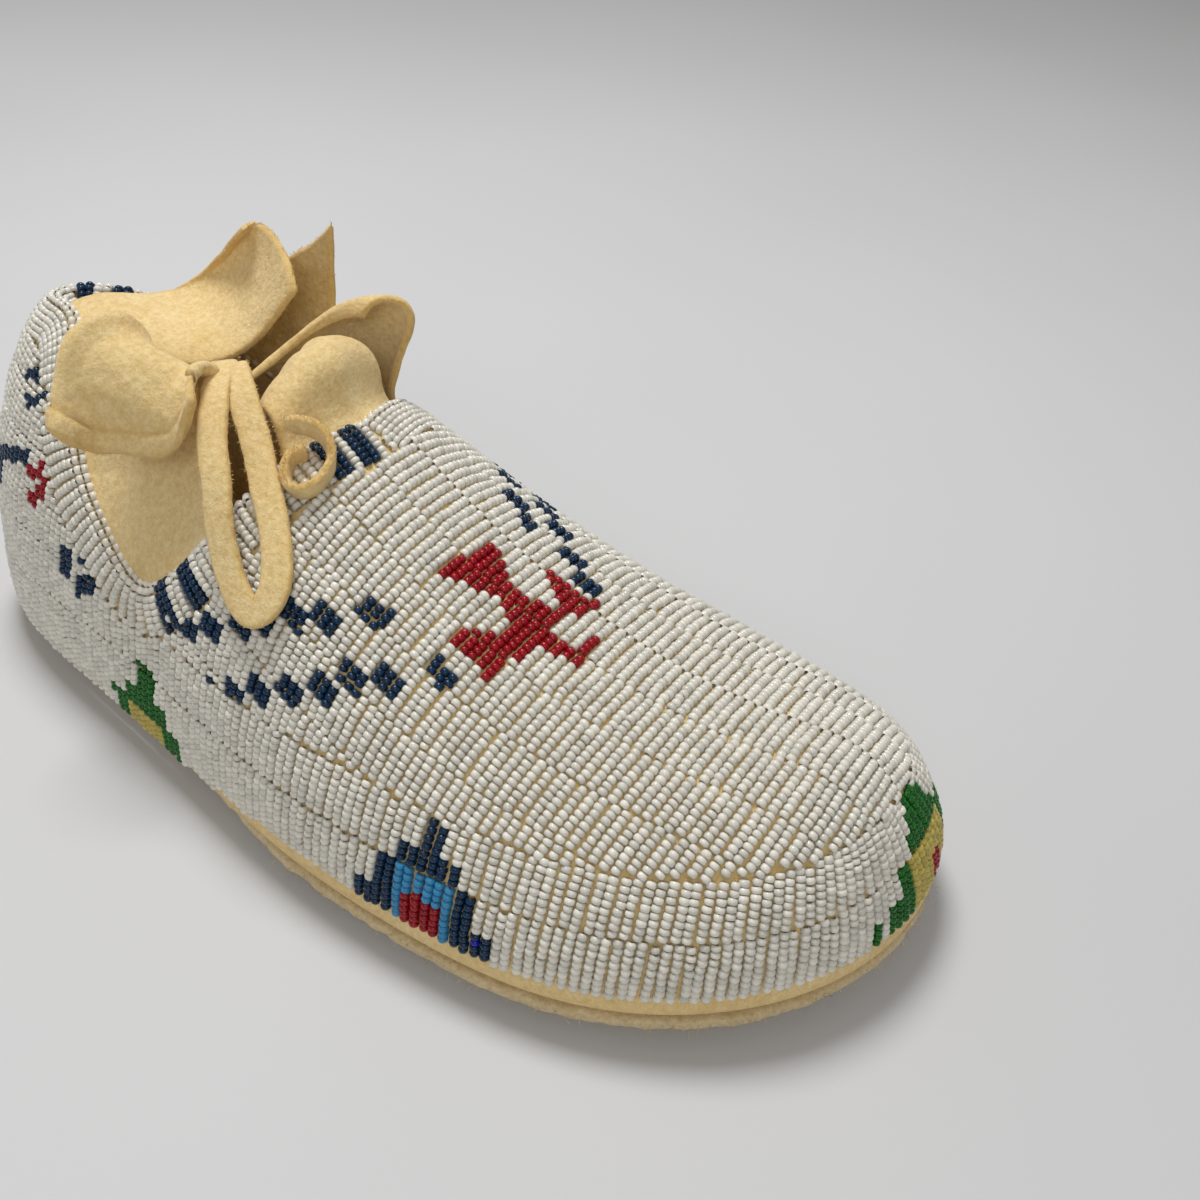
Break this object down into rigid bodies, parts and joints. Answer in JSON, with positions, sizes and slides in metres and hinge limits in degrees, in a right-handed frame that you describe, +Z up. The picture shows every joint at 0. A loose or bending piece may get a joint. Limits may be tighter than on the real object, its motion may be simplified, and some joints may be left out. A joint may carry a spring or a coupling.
{
  "type": "beaded moccasin",
  "caption": "Low leather moccasin for the right foot with an all-over beadwork upper, folded leather cuff, curled tongue and thong tie.",
  "frame": {"origin": "on the floor under the sole, at mid-length, on the shoe's long axis", "axes": "+X towards the toe, +Y towards the inner side of the foot, +Z up"},
  "size_m": [0.2422, 0.1077, 0.102],
  "materials": {
    "buckskin": "soft suede, matte",
    "rawhide": "stiff hide with a fuzzy cut edge, matte",
    "glass_beads": "opaque glass seed beads, slightly glossy"
  },
  "bodies": {
    "root": {"sole": "rawhide", "upper": "buckskin", "beadwork": "glass_beads", "cuff": "buckskin", "cuff_back": "buckskin", "cuff_point": "buckskin", "tongue": "buckskin", "throat_roll": "buckskin", "thong_loop": "buckskin", "thong_ring": "buckskin"}
  },
  "joints": []
}
